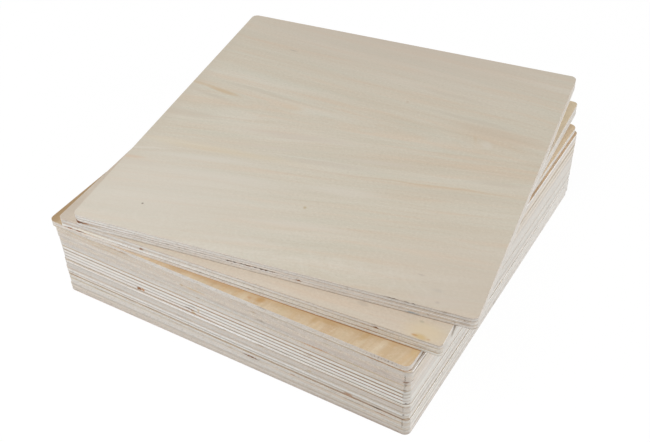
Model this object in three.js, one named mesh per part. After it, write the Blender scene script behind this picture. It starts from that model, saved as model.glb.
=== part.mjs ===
// A stack of square plywood sheets in mixed thicknesses. The lower sheets are squared up to one another,
// and the two on top are laid on progressively turned and pushed back, so that each shows a strip of the
// face below. Units are millimetres, +Z is up, front edges face -Y and right-hand edges face +X.
// The origin is the centre of the bottom sheet's underside.
import * as THREE from 'three';

// Every sheet is cut to the same square, with its four corners rounded over to one radius.
const SHEET_SIDE = 300;
const CORNER_RADIUS = 5;
const CORNER_SEGMENTS = 10;

// The saw-cut edges are broken by a small flat all round, top and bottom.
const ARRIS = 0.3;

// Sawn sheets never close up completely: a hair of air stays between one and the next.
const AIR_GAP = 0.1;

// The boards are laid up from veneers of about two millimetres.
const CRAFT_THREE_PLY = 4.9;
const THREE_PLY = 6.2;
const LIGHT_FIVE_PLY = 8.3;
const FIVE_PLY = 10.1;
const HEAVY_FIVE_PLY = 10.7;
const SEVEN_PLY = 14.1;

const FINISHES = {
  cream: { color: 0xd8cbb6, roughness: 0.7 },
  golden: { color: 0xdcb987, roughness: 0.68 },
  pinkish: { color: 0xd2c3b6, roughness: 0.76 },
  greyish: { color: 0xcdc6ba, roughness: 0.78 },
  whitish: { color: 0xded8cd, roughness: 0.76 },
};

// From the bottom up: what each board is, and how it lies on the stack, as the shift of its centre in
// millimetres and its turn about the vertical in degrees, anticlockwise seen from above.
const SHEETS = [
  { name: 'sheet_01_bottom', thickness: THREE_PLY, shiftX: 0, shiftY: 0, turn: 0, finish: 'greyish' },
  { name: 'sheet_02', thickness: HEAVY_FIVE_PLY, shiftX: 0.7, shiftY: 0, turn: -0.09, finish: 'greyish' },
  { name: 'sheet_03', thickness: THREE_PLY, shiftX: 0.1, shiftY: 0.3, turn: -0.22, finish: 'whitish' },
  { name: 'sheet_04', thickness: LIGHT_FIVE_PLY, shiftX: 0.5, shiftY: 0.5, turn: -0.17, finish: 'greyish' },
  { name: 'sheet_05', thickness: SEVEN_PLY, shiftX: 0.3, shiftY: 1.2, turn: -0.25, finish: 'whitish' },
  { name: 'sheet_06', thickness: FIVE_PLY, shiftX: 0.5, shiftY: 1.0, turn: -0.25, finish: 'pinkish' },
  { name: 'sheet_07', thickness: FIVE_PLY, shiftX: 1.2, shiftY: 0.1, turn: -0.1, finish: 'pinkish' },
  { name: 'sheet_08_golden', thickness: CRAFT_THREE_PLY, shiftX: -0.5, shiftY: -0.3, turn: 0.05, finish: 'golden' },
  { name: 'sheet_09_upper', thickness: FIVE_PLY, shiftX: 3.2, shiftY: 7.0, turn: 3.99, finish: 'cream' },
  { name: 'sheet_10_top', thickness: FIVE_PLY, shiftX: 6.3, shiftY: 16.9, turn: 8.58, finish: 'cream' },
];

function roundedSquare(side, radius) {
  const half = side / 2;
  const centre = half - radius;
  const outline = new THREE.Shape();
  outline.moveTo(-centre, -half);
  outline.absarc(centre, -centre, radius, -Math.PI / 2, 0, false);
  outline.absarc(centre, centre, radius, 0, Math.PI / 2, false);
  outline.absarc(-centre, centre, radius, Math.PI / 2, Math.PI, false);
  outline.absarc(-centre, -centre, radius, Math.PI, 1.5 * Math.PI, false);
  return outline;
}

function boardGeometry(thickness) {
  const geometry = new THREE.ExtrudeGeometry(roundedSquare(SHEET_SIDE, CORNER_RADIUS), {
    depth: thickness - 2 * ARRIS,
    curveSegments: CORNER_SEGMENTS,
    bevelEnabled: true,
    bevelThickness: ARRIS,
    bevelSize: ARRIS,
    bevelOffset: -ARRIS,
    bevelSegments: 1,
  });
  geometry.translate(0, 0, ARRIS);
  return geometry;
}

function boardMaterial({ color, roughness }) {
  return new THREE.MeshStandardMaterial({ color, roughness, metalness: 0 });
}

function buildStack() {
  const stack = new THREE.Group();
  stack.name = 'plywood_stack';
  let height = 0;
  for (const sheet of SHEETS) {
    const board = new THREE.Mesh(boardGeometry(sheet.thickness), boardMaterial(FINISHES[sheet.finish]));
    board.name = sheet.name;
    board.position.set(sheet.shiftX, sheet.shiftY, height);
    board.rotation.z = THREE.MathUtils.degToRad(sheet.turn);
    stack.add(board);
    height += sheet.thickness + AIR_GAP;
  }
  return stack;
}

export default buildStack();
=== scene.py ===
"""A stack of ten square plywood sheets in mixed thicknesses, with soft studio light and a camera.

Every sheet is modelled from a sawn blank: its corners are rounded, its edges are broken, its veneers
are marked out and left a little proud of their glue lines, and its voids are opened. Each one then gets
a face and an edge finish of its own. Lengths are in millimetres until the bench tools take them in metres.
"""

import logging  # noqa: E402
import math  # noqa: E402
from collections.abc import Callable, Sequence  # noqa: E402
from dataclasses import dataclass, field, replace  # noqa: E402
from enum import Enum  # noqa: E402

import bmesh  # noqa: E402
import bpy  # noqa: E402
from mathutils import Matrix, Vector  # noqa: E402


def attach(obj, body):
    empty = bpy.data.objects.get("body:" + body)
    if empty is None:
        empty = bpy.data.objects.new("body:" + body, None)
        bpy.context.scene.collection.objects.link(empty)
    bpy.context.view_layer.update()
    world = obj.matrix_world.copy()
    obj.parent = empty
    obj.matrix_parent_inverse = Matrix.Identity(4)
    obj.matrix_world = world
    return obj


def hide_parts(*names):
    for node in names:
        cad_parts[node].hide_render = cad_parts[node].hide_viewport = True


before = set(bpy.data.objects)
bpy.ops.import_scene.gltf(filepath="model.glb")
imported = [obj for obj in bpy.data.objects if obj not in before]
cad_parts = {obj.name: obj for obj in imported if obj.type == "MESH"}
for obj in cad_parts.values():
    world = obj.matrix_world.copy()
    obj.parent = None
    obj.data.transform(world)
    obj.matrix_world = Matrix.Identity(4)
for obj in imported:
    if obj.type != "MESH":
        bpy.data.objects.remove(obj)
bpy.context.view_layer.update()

log = logging.getLogger("plywood_stack")

# A millimetre in metres, and how close two places are that count as one, in metres.
MM = 0.001
SAME = 1e-6

# The boards' own sizes.
SIDE = 300.0
HALF = SIDE / 2
AIR_GAP = 0.1
ARRIS = 0.14

# How finely a board is cut up, and how its sawn edge is worked.
CORNER_STEPS = 12
CUTS_ALONG = (12, 14)
GLUE_DEPTH = 0.12
CROSSWISE_DEPTH = 0.05
SHOULDER = 0.25
HOLLOW_RIM = 0.15
WEAR_FADE = 0.8
RIM_REACH = 0.05
SMOOTH_ANGLE = 25.0

# What counts as a board's face, by how upright it looks and its area in square metres, and as its front.
LEVEL = 0.9
BROAD = 1e-3
FORWARD = 0.6

# How the edge finish is laid: where the tones of an edge's ends are full, how far the seam of two edges is
# off the corner's middle, how soft the line between two layers is, and where a corner's painted shade
# starts.
END_REACH = 117.0
NEAR_REACH, FAR_REACH = -100.0, 90.0
SEAM_STEP = 2.6
LAYER_SOFTNESS = 0.06
CORNER_EASE = 0.3

# How the face finish is laid: how round the tips of the flames are, how far from the heart line their limbs
# lean fully and differ fully, and where and how closely the curls lie.
TIP_ROUNDING = 30.0
TIP_REACH = 30.0
LIMB_REACH = 40.0
CURLED = (-105.0, -138.0)
CURL_RATE = 60.0
ARC_START = 0.55

# How far the marks reach into the board, and where a pattern counts as fully high or low.
EDGE_REACH = 5.0
FACE_REACH = 3.0
PATTERN_HIGH, PATTERN_LOW = 0.72, 0.28
WHITE = (1.0, 1.0, 1.0, 1.0)

Socket = bpy.types.NodeSocket
Point = tuple[float, float, float]
Fleck = tuple[float, float, float, float, float]
Patch = tuple[float, float, float, float, float, float]


class Layer(Enum):
    """What one layer of a board is: a veneer, by the way its grain runs, or the glue between two."""

    LENGTHWISE = 0.0
    GLUE = 0.5
    CROSSWISE = 1.0


LONG, GLUE, CROSS = Layer


@dataclass(frozen=True)
class Tone:
    """A colour in 0 to 255 display values."""

    red: float
    green: float
    blue: float

    def linear(self) -> tuple[float, float, float, float]:
        """Works the colour out in scene-linear values.

        Returns:
            Its red, green and blue, and an alpha of one.
        """
        made = []
        for value in (self.red, self.green, self.blue):
            share = value / 255
            made.append(share / 12.92 if share <= 0.04045 else ((share + 0.055) / 1.055) ** 2.4)
        return (made[0], made[1], made[2], 1.0)


# Tones of the wood, from the palest to the darkest, and of what marks it, painted shade and light among
# them.
SNOW = Tone(250, 250, 250)
FROST = Tone(241, 241, 240)
CHALK = Tone(232, 230, 225)
SALT = Tone(228, 226, 222)
MILK = Tone(229, 224, 218)
PEARL = Tone(225, 222, 217)
IVORY = Tone(223, 219, 210)
SHELL = Tone(222, 218, 213)
BONE = Tone(219, 216, 210)
CREAM = Tone(222, 213, 203)
LINEN = Tone(215, 213, 208)
FLAX = Tone(215, 210, 204)
ALMOND = Tone(228, 207, 177)
OATS = Tone(216, 209, 197)
PAPER = Tone(212, 208, 202)
DOUGH = Tone(213, 206, 198)
PEACH = Tone(220, 204, 187)
DOVE = Tone(208, 204, 198)
GRIST = Tone(211, 203, 193)
PUMICE = Tone(206, 201, 195)
BUTTER = Tone(217, 200, 170)
BISCUIT = Tone(210, 200, 187)
PEBBLE = Tone(203, 197, 190)
SAND = Tone(205, 194, 182)
DUNE = Tone(200, 191, 182)
WHEAT = Tone(203, 190, 175)
PUTTY = Tone(198, 189, 178)
STRAW = Tone(198, 186, 168)
STONE = Tone(192, 186, 180)
BLUSH = Tone(197, 184, 173)
FAWN = Tone(200, 181, 159)
HAY = Tone(202, 178, 145)
CLAY = Tone(188, 179, 170)
MUSTARD = Tone(205, 176, 122)
HUSK = Tone(184, 173, 159)
HONEY = Tone(190, 171, 143)
ASH = Tone(177, 173, 166)
KHAKI = Tone(181, 163, 131)
MINK = Tone(175, 162, 152)
TAN = Tone(179, 155, 126)
STEEL = Tone(150, 160, 166)
OCHRE = Tone(188, 152, 101)
PEWTER = Tone(160, 156, 149)
HAZEL = Tone(167, 151, 134)
GINGER = Tone(188, 141, 101)
CARAMEL = Tone(172, 143, 106)
SLATE = Tone(152, 142, 130)
ACORN = Tone(162, 137, 113)
SPECK = Tone(150, 134, 118)
COPPER = Tone(176, 122, 76)
WALNUT = Tone(149, 126, 101)
TAUPE = Tone(140, 127, 113)
RUST = Tone(160, 114, 78)
COCOA = Tone(129, 113, 100)
UMBER = Tone(139, 107, 80)
BRONZE = Tone(158, 102, 42)
CHESTNUT = Tone(142, 96, 59)
BARK = Tone(114, 96, 82)
KNOT = Tone(134, 90, 56)
RUSSET = Tone(120, 76, 45)
SOOT = Tone(92, 78, 68)
PEAT = Tone(90, 66, 55)
SIENNA = Tone(98, 52, 25)


Number = Socket | float
Colour = Socket | Tone
Value = Socket | Tone | float | Sequence[float]
Element = bmesh.types.BMVert | bmesh.types.BMEdge | bmesh.types.BMFace


@dataclass(frozen=True)
class Band:
    """One layer of a board as its sawn edge shows it, from the underside up.

    Its top is in millimetres above the underside. The tones are those at the left end, the middle and the
    right end of the front and back edges, and at the near and far ends of the two side edges. Besides the
    veneer's own colour they hold painted light and shade: paler side edges, a front that darkens towards
    the right, and darker layers under an overhang.
    """

    top: float
    layer: Layer
    left: Tone
    middle: Tone
    right: Tone
    near: Tone
    far: Tone


@dataclass(frozen=True)
class Mark:
    """A soft-edged mark: a blemish, such as a knot, a stain or a fleck, or a patch of painted shade or
    light.

    It is an ellipsoid in the board's own millimetres, turned about the vertical in degrees. A steady one
    keeps its outline; the others waver with the grain.
    """

    centre: Point
    reach: Point
    tone: Tone
    strength: float
    turn: float = 0.0
    softness: float = 0.7
    steady: bool = False


class Edge(Enum):
    """An edge of a board that carries marks of its own."""

    FRONT = "front"
    RIGHT = "right"

    def flecks(self, tone: Tone, *flecks: Fleck, softness: float = 0.7) -> tuple[Mark, ...]:
        """Marks of one tone on this edge.

        Args:
            tone: Their tone.
            *flecks: Each one's distance along the edge from its middle, its height, how far it reaches
                along and up, and its strength.
            softness: The share of the reach over which they fade.

        Returns:
            The marks, in the same order.
        """
        made = []
        for along, height, half, tall, strength in flecks:
            if self is Edge.FRONT:
                centre, reach = (along, -HALF, height), (half, EDGE_REACH, tall)
            else:
                centre, reach = (HALF, along, height), (EDGE_REACH, half, tall)
            made.append(Mark(centre, reach, tone, strength, softness=softness))
        return tuple(made)


FRONT, RIGHT = Edge


def at_corner(centre: Point, reach: Point, tone: Tone, strength: float, softness: float = 0.7) -> Mark:
    """A mark where a rounded corner turns."""
    return Mark(centre, reach, tone, strength, softness=softness)


def on_face(tone: Tone, *patches: Patch, softness: float = 0.8, steady: bool = False) -> tuple[Mark, ...]:
    """Marks of one tone on the upper face, to which the board raises them.

    Args:
        tone: Their tone.
        *patches: Each one's place along and across the sheet, how far it reaches along and across, its
            strength, and how far it is turned, in degrees.
        softness: The share of the reach over which they fade.
        steady: Whether they keep their outline.

    Returns:
        The marks, in the same order.
    """
    return tuple(
        Mark((x, y, 0.0), (half, wide, FACE_REACH), tone, strength, turn, softness, steady)
        for x, y, half, wide, strength, turn in patches
    )


@dataclass(frozen=True)
class Hollow:
    """A gap in a core veneer that the saw has opened on the front edge, between two heights.

    Its tone is painted over it as shade.
    """

    start: float
    end: float
    low: float
    high: float
    depth: float
    tone: Tone = Tone(112, 76, 54)

    def shade(self) -> Mark:
        """The painted shade inside the gap: its tone laid over the gap and just past its rim."""
        middle = ((self.start + self.end) / 2, -HALF, (self.low + self.high) / 2)
        reach = ((self.end - self.start) / 2 + 0.3, self.depth + 1.0, (self.high - self.low) / 2 + 0.1)
        return Mark(middle, reach, self.tone, 1.0, softness=0.3)


@dataclass(frozen=True)
class FaceFigure:
    """The figure of a face veneer: its tones, the scale of its bands, and how they run.

    The bands are flames, one inside another, whose tips lie on the heart line and point right. The limbs
    rise by the first angle on the near side of that line and by the second on the far side, in degrees.
    A heart line that lies off the board leaves the bands plain and straight.
    """

    light: Tone
    mid: Tone
    dark: Tone
    streak: Tone
    turn: float = 0.0
    blush: Tone = Tone(214, 192, 168)
    cool: Tone = Tone(200, 199, 184)
    rise: tuple[float, float] = (0.0, 0.0)
    heart: float = 1000.0
    band_width: float = 30.0
    streak_contrast: float = 0.3
    curl: float = 0.0
    seed: float = 0.0


def plain_figure(seed: float) -> FaceFigure:
    """The quiet pale figure of the sheets whose faces are covered, varied by its seed."""
    return FaceFigure(
        Tone(214, 205, 190), Tone(206, 196, 180), Tone(200, 187, 170), Tone(190, 176, 158), seed=seed
    )


@dataclass(frozen=True)
class EdgeLook:
    """What the saw and the years left on an edge beyond its layers and marks, and its painted corner shade.

    The body tone hides the layers in cloudy places by the fade. The waver is how ragged the layers run.
    The grain is how strong the fibres are, and the hatch how dark the slanted cracks are. Where the
    corners turn, the corner shade, which is painted shade, hides the layers by the corner shading.
    """

    body: Tone
    fade: float = 0.2
    waver: float = 1.0
    grain: float = 0.3
    hatch: float = 0.25
    corner_shade: Tone = Tone(200, 196, 189)
    corner_shading: float = 0.35


@dataclass(frozen=True)
class Wear:
    """One way in which a sawn edge is worn: a cloudy pattern that moves a group of its vertices.

    The size is the pattern's scale, and the amount is the most that a vertex moves, in millimetres. The
    axis is NORMAL, X, Y or Z. Where it is inward, vertices only ever move against that axis.
    """

    group: str
    size: float
    amount: float
    axis: str = "NORMAL"
    inward: bool = True


# The veneers wander up and down a little, the saw leaves them rough, and the broken edges chip.
WEAR = (
    Wear("veneers", 22.0, 0.3, axis="Z", inward=False),
    Wear("veneers", 3.0, 0.1),
    Wear("rim", 4.0, 0.22),
)


class Bench:
    """The plain bench work every board needs: picking what to work on, and the tools' common settings."""

    @staticmethod
    def clear() -> None:
        """Leaves edit mode and deselects everything."""
        if bpy.context.mode != "OBJECT":
            bpy.ops.object.mode_set(mode="OBJECT")
        bpy.ops.object.select_all(action="DESELECT")

    @staticmethod
    def take(piece: bpy.types.Object) -> None:
        """Makes a piece the only selected object and the active one."""
        Bench.clear()
        piece.select_set(True)
        bpy.context.view_layer.objects.active = piece

    @staticmethod
    def pick(piece: bpy.types.Object, kind: str, wanted: Callable[[Element], bool]) -> int:
        """Selects the points, edges or faces that pass a test, in edit mode.

        Args:
            piece: The board being edited.
            kind: VERT, EDGE or FACE.
            wanted: Takes one of them and says whether it is wanted.

        Returns:
            How many are selected.
        """
        bpy.ops.mesh.select_mode(type=kind)
        bpy.ops.mesh.select_all(action="DESELECT")
        mesh = bmesh.from_edit_mesh(piece.data)
        everything = {"VERT": mesh.verts, "EDGE": mesh.edges, "FACE": mesh.faces}[kind]
        chosen = [element for element in everything if wanted(element)]
        for element in chosen:
            element.select_set(True)
        mesh.select_flush_mode()
        bmesh.update_edit_mesh(piece.data)
        return len(chosen)

    @staticmethod
    def ends(edge: bmesh.types.BMEdge) -> tuple[Vector, Vector]:
        """The two end points of an edge."""
        return (edge.verts[0].co, edge.verts[1].co)

    @staticmethod
    def weights(piece: bpy.types.Object, name: str, weight: Callable[[Vector], float]) -> None:
        """Gives a piece a vertex group whose weights come from each vertex's place.

        Args:
            piece: The board, in object mode.
            name: The group's name.
            weight: Takes a vertex's place and gives its weight.
        """
        group = piece.vertex_groups.new(name=name)
        for vert in piece.data.vertices:
            group.add([vert.index], weight(vert.co), "REPLACE")

    @staticmethod
    def roughen(piece: bpy.types.Object, wear: Wear) -> None:
        """Moves the vertices of a group by a cloudy pattern, and applies the move.

        Args:
            piece: The board, in object mode and active.
            wear: The group, the pattern and the move.
        """
        pattern = bpy.data.textures.new(f"{piece.name}_{wear.group}", type="CLOUDS")
        pattern.noise_scale = wear.size * MM
        pattern.noise_depth = 2
        rough = piece.modifiers.new(wear.group, "DISPLACE")
        rough.texture = pattern
        rough.texture_coords = "LOCAL"
        rough.vertex_group = wear.group
        rough.direction = wear.axis
        rough.strength = wear.amount * MM
        rough.mid_level = 1.0 if wear.inward else 0.5
        bpy.ops.object.modifier_apply(modifier=rough.name)
        bpy.data.textures.remove(pattern)


class Finisher:
    """Adds and joins the nodes of one finish, on a material or on the world."""

    def __init__(self, owner: bpy.types.Material | bpy.types.World) -> None:
        """Starts an empty finish.

        Args:
            owner: The material or the world that the finish is for.
        """
        owner.use_nodes = True
        self.owner = owner
        self.tree = owner.node_tree
        self.tree.nodes.clear()

    def add(
        self, kind: str, inputs: dict[str | int, Value] | None = None, **settings: str | bool
    ) -> bpy.types.Node:
        """Adds a node.

        Args:
            kind: The node's type name, without ShaderNode before it.
            inputs: What goes into its sockets, as values or as other nodes' sockets.
            **settings: The node's own properties.

        Returns:
            The new node.
        """
        node = self.tree.nodes.new(f"ShaderNode{kind}")
        for key, value in settings.items():
            setattr(node, key, value)
        for key, value in (inputs or {}).items():
            self.feed(node.inputs[key], value)
        return node

    def feed(self, socket: Socket, value: Value) -> None:
        """Joins a socket to another, or sets its value.

        Args:
            socket: The socket that takes the value.
            value: A number, a tuple of them, a tone, or the socket of another node.
        """
        if isinstance(value, Socket):
            self.tree.links.new(value, socket)
        elif isinstance(value, Tone):
            socket.default_value = value.linear()
        else:
            socket.default_value = value

    def sum(self, kind: str, first: Number, second: Number = 0.0, clamp: bool = False) -> Socket:
        """One step of arithmetic.

        Args:
            kind: The operation, such as ADD or MULTIPLY.
            first: The first number or socket.
            second: The second number or socket.
            clamp: Whether the result is kept between 0 and 1.

        Returns:
            The result's socket.
        """
        return self.add("Math", {0: first, 1: second}, operation=kind, use_clamp=clamp).outputs[0]

    def split(self, where: Socket) -> tuple[Socket, Socket, Socket]:
        """The three values of a set of coordinates."""
        return tuple(self.add("SeparateXYZ", {0: where}).outputs)

    def join(self, x: Number, y: Number, z: Number) -> Socket:
        """Coordinates made of three values."""
        return self.add("CombineXYZ", {0: x, 1: y, 2: z}).outputs[0]

    def place(
        self, source: Socket, centre: Point = (0, 0, 0), turn: float = 0.0, scale: Point = (1, 1, 1)
    ) -> Socket:
        """Coordinates taken to a frame of their own.

        Args:
            source: The coordinates' socket.
            centre: Where the new frame's origin is.
            turn: How far the new frame is turned about the vertical, in degrees.
            scale: How long one unit of the new frame is along each of its axes.

        Returns:
            The new coordinates' socket.
        """
        rotation = (0, 0, math.radians(turn))
        inputs = {"Vector": source, "Location": centre, "Rotation": rotation, "Scale": scale}
        return self.add("Mapping", inputs, vector_type="TEXTURE").outputs[0]

    def noise(
        self,
        where: Socket,
        scale: Point,
        detail: float = 2.0,
        rough: float = 0.5,
        bend: float = 0.0,
        start: Point = (0, 0, 0),
    ) -> Socket:
        """A cloudy pattern.

        Args:
            where: The coordinates' socket.
            scale: The pattern's size along each axis.
            detail: How many finer patterns are laid over it.
            rough: How strong those are.
            bend: How far the pattern is distorted.
            start: Where the pattern starts.

        Returns:
            The pattern's value socket.
        """
        inputs = {"Scale": 1.0, "Detail": detail, "Roughness": rough, "Distortion": bend}
        inputs["Vector"] = self.place(where, start, 0.0, scale)
        return self.add("TexNoise", inputs).outputs["Fac"]

    def shaken(self, where: Socket, pattern: Socket, amount: Point) -> Socket:
        """Coordinates shifted to and fro by a pattern.

        Args:
            where: The coordinates' socket.
            pattern: The pattern's value socket.
            amount: The most that they shift along each axis.

        Returns:
            The shifted coordinates' socket.
        """
        centred = self.sum("SUBTRACT", pattern, 0.5)
        shift = self.join(*(self.sum("MULTIPLY", centred, most * 2) for most in amount))
        return self.add("VectorMath", {0: where, 1: shift}, operation="ADD").outputs[0]

    def spread(
        self,
        value: Socket,
        low: float,
        high: float,
        to_low: float = 0.0,
        to_high: float = 1.0,
        kind: str = "SMOOTHSTEP",
    ) -> Socket:
        """A value taken from one span to another.

        Args:
            value: The number's socket.
            low: Where the old span starts.
            high: Where the old span ends.
            to_low: Where the new span starts.
            to_high: Where the new span ends.
            kind: How it goes from the one to the other.

        Returns:
            The new value's socket.
        """
        inputs = {"Value": value, "From Min": low, "From Max": high, "To Min": to_low, "To Max": to_high}
        return self.add("MapRange", inputs, interpolation_type=kind).outputs[0]

    def ramp(self, value: Socket, stops: Sequence[tuple[float, Tone]], mode: str = "LINEAR") -> Socket:
        """A colour chosen by a value.

        Args:
            value: The number's socket.
            stops: The tones and where each lies, in order.
            mode: How the tones run into one another.

        Returns:
            The colour's socket.
        """
        node = self.add("ValToRGB", {"Fac": value})
        band = node.color_ramp
        band.interpolation = mode
        for element, (position, tone) in zip(band.elements, (stops[0], stops[-1])):
            element.position, element.color = position, tone.linear()
        for position, tone in stops[1:-1]:
            band.elements.new(position).color = tone.linear()
        return node.outputs["Color"]

    def mix(self, share: Number, first: Colour, second: Colour) -> Socket:
        """Two colours mixed.

        Args:
            share: How much of the second there is.
            first: The first colour.
            second: The second colour.

        Returns:
            The mixed colour's socket.
        """
        node = self.add("Mix", data_type="RGBA", blend_type="MIX")
        for key, value in (("Factor", share), (6, first), (7, second)):
            self.feed(node.inputs[key], value)
        return node.outputs[2]

    def vary(self, colour: Socket, pattern: Socket, share: float, above: Tone, below: Tone) -> Socket:
        """Leans a colour towards one tone where a pattern is high, and towards another where it is low.

        Args:
            colour: The colour.
            pattern: The pattern's value socket.
            share: The most it leans.
            above: The tone where the pattern is high.
            below: The tone where it is low.

        Returns:
            The varied colour's socket.
        """
        colour = self.mix(self.spread(pattern, 0.5, PATTERN_HIGH, 0.0, share), colour, above)
        return self.mix(self.spread(pattern, 0.5, PATTERN_LOW, 0.0, share), colour, below)

    def marks(self, colour: Socket, where: Socket, marks: Sequence[Mark]) -> Socket:
        """Lays marks over a colour: blemishes, and patches of painted shade and painted light.

        Args:
            colour: The colour they lie on.
            where: The board's own coordinates, in millimetres.
            marks: The marks.

        Returns:
            The colour with the marks on it.
        """
        for mark in marks:
            near = self.place(where, mark.centre, mark.turn, mark.reach)
            distance = self.add("VectorMath", {0: near}, operation="LENGTH").outputs["Value"]
            share = self.spread(distance, 1.0, 1.0 - mark.softness, 0.0, mark.strength)
            colour = self.mix(share, colour, mark.tone)
        return colour

    def surface(self, colour: Socket, rough: float, height: Socket, depth: float) -> bpy.types.Material:
        """Ends the finish in a matt wood surface.

        Args:
            colour: The surface's colour.
            rough: Its roughness.
            height: The relief's value.
            depth: How deep the relief is, in millimetres.

        Returns:
            The finished material.
        """
        bump = self.add("Bump", {"Height": height, "Strength": 1.0, "Distance": depth * MM}).outputs[0]
        inputs = {"Base Color": colour, "Roughness": rough, "Specular IOR Level": 0.25, "Normal": bump}
        self.add("OutputMaterial", {"Surface": self.add("BsdfPrincipled", inputs).outputs[0]})
        return self.owner

    def seen(self) -> Socket:
        """Whether a ray comes straight from the camera, a reflection or a glass, as 1 or 0."""
        path = self.add("LightPath").outputs
        seen = self.sum("MAXIMUM", path["Is Camera Ray"], path["Is Glossy Ray"])
        return self.sum("MAXIMUM", seen, path["Is Transmission Ray"])


@dataclass
class Board:
    """One plywood sheet: its lay-up, its place on the stack, what the saw and the wood left on it, and the
    light and shade painted on it.

    The turn is in degrees anticlockwise from above, and heights are above the board's own underside.
    The drop is how far the underside hangs into the gap of air above the board below.
    """

    node: str
    slot: str
    thickness: float
    shift: tuple[float, float]
    turn: float
    bands: tuple[Band, ...]
    figure: FaceFigure
    look: EdgeLook
    hollows: tuple[Hollow, ...] = ()
    edge_marks: tuple[Mark, ...] = ()
    face_marks: tuple[Mark, ...] = ()
    corner_radius: float = 5.0
    drop: float = 0.08
    base: float = 0.0
    piece: bpy.types.Object = field(init=False, default=None)

    @property
    def name(self) -> str:
        """The finished board's name, after the sheet it stands for."""
        return "plywood" + self.node.removeprefix("sheet")

    @property
    def floor(self) -> float:
        """The height of the board's underside, just clear of the board below."""
        return self.base - self.drop

    @property
    def ceiling(self) -> float:
        """The height of the board's upper face."""
        return self.base + self.thickness

    def build(self) -> bpy.types.Object:
        """Models the board from a blank, lays it on the stack and dresses it.

        Returns:
            The finished piece.
        """
        self.saw_blank()
        self.round_corners()
        self.break_edges()
        self.mark_out()
        self.set_back_layers()
        self.open_hollows()
        self.close_faces()
        self.note_layers()
        self.wear_edges()
        self.lay_in_place()
        self.dress()
        return self.piece

    def saw_blank(self) -> None:
        """Saws the square blank at its size, standing at its height over the stack's middle."""
        Bench.clear()
        tall = self.ceiling - self.floor
        bpy.ops.mesh.primitive_cube_add(
            size=1.0,
            location=(0.0, 0.0, (self.floor + tall / 2) * MM),
            scale=(SIDE * MM, SIDE * MM, tall * MM),
        )
        self.piece = bpy.context.object
        self.piece.name = self.name
        self.piece.data.name = self.name
        bpy.ops.object.transform_apply(location=True, rotation=True, scale=True)
        bpy.ops.object.mode_set(mode="EDIT")

    def round_corners(self) -> None:
        """Rounds the four upright corners."""
        Bench.pick(self.piece, "EDGE", lambda edge: not self.is_level(edge))
        bpy.ops.mesh.bevel(
            offset=self.corner_radius * MM, segments=CORNER_STEPS, profile=0.5, affect="EDGES"
        )

    def break_edges(self) -> None:
        """Breaks the edges all round the two faces with a small flat."""
        Bench.pick(self.piece, "EDGE", self.is_level)
        bpy.ops.mesh.bevel(offset=ARRIS * MM, segments=1, affect="EDGES")

    @staticmethod
    def is_level(edge: bmesh.types.BMEdge) -> bool:
        """Whether the two ends of an edge are at one height."""
        first, second = Bench.ends(edge)
        return abs(first.z - second.z) < SAME

    @staticmethod
    def runs_along(edge: bmesh.types.BMEdge) -> bool:
        """Whether an edge runs level along one of the four straight sides."""
        first, second = Bench.ends(edge)
        straight = min(abs(first.x - second.x), abs(first.y - second.y)) < SAME
        return Board.is_level(edge) and straight and (first - second).length > 2 * MM

    def drawn_in(self) -> list[tuple[float, float]]:
        """The heights at which the edge lies a little further in, and by how much.

        Glue shows as a fine groove, and the crosswise veneers are sawn a shade deeper than the others.

        Returns:
            Pairs of a height above the underside and a depth.
        """
        made = []
        low = 0.0
        for band in self.bands:
            if band.layer is GLUE:
                made.append(((low + band.top) / 2, GLUE_DEPTH))
            elif band.layer is CROSS:
                inset = min(SHOULDER, (band.top - low) / 4)
                made += [(low + inset, CROSSWISE_DEPTH), (band.top - inset, CROSSWISE_DEPTH)]
            low = band.top
        return made

    def rows(self) -> list[float]:
        """The heights at which the edge is marked out.

        Returns:
            Heights above the underside, from the lowest up, with none twice.
        """
        heights = [band.top for band in self.bands[:-1]]
        heights += [height for height, _ in self.drawn_in()]
        for hollow in self.hollows:
            heights += [hollow.low, hollow.high]
        return sorted({round(height, 3) for height in heights})

    def mark_out(self) -> None:
        """Takes the two faces off for now, and cuts the edge into layers and short lengths."""
        Bench.pick(self.piece, "FACE", lambda face: abs(face.normal.z) > LEVEL)
        bpy.ops.mesh.delete(type="ONLY_FACE")
        for height in self.rows():
            bpy.ops.mesh.select_all(action="SELECT")
            bpy.ops.mesh.bisect(plane_co=(0.0, 0.0, (self.base + height) * MM), plane_no=(0.0, 0.0, 1.0))
        for cuts in CUTS_ALONG:
            Bench.pick(self.piece, "EDGE", self.runs_along)
            bpy.ops.mesh.subdivide(number_cuts=cuts)

    def set_back_layers(self) -> None:
        """Draws the glue lines and the crosswise veneers in towards the board's middle."""
        for height, depth in self.drawn_in():
            level = (self.base + height) * MM
            Bench.pick(self.piece, "VERT", lambda point: abs(point.co.z - level) < SAME)
            share = 1.0 - depth / HALF
            bpy.ops.transform.resize(value=(share, share, 1.0), center_override=(0.0, 0.0, 0.0))

    def open_hollows(self) -> None:
        """Sinks the gaps that the saw opened in the core veneers."""
        for hollow in self.hollows:
            if Bench.pick(self.piece, "FACE", lambda face: self.is_inside(face, hollow)):
                rim = min(HOLLOW_RIM, (hollow.high - hollow.low) / 5)
                for depth in (0.0, -hollow.depth):
                    bpy.ops.mesh.inset(thickness=rim * MM, depth=depth * MM, use_even_offset=False)
                self.piece.data.update()

    def is_inside(self, face: bmesh.types.BMFace, hollow: Hollow) -> bool:
        """Whether a face of the front edge lies within a gap.

        Args:
            face: The face.
            hollow: The gap.

        Returns:
            True where it faces the front and its middle is between the gap's ends and heights.
        """
        middle = face.calc_center_median() / MM
        height = middle.z - self.base
        along = hollow.start < middle.x < hollow.end
        return -face.normal.y > FORWARD and along and hollow.low < height < hollow.high

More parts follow.
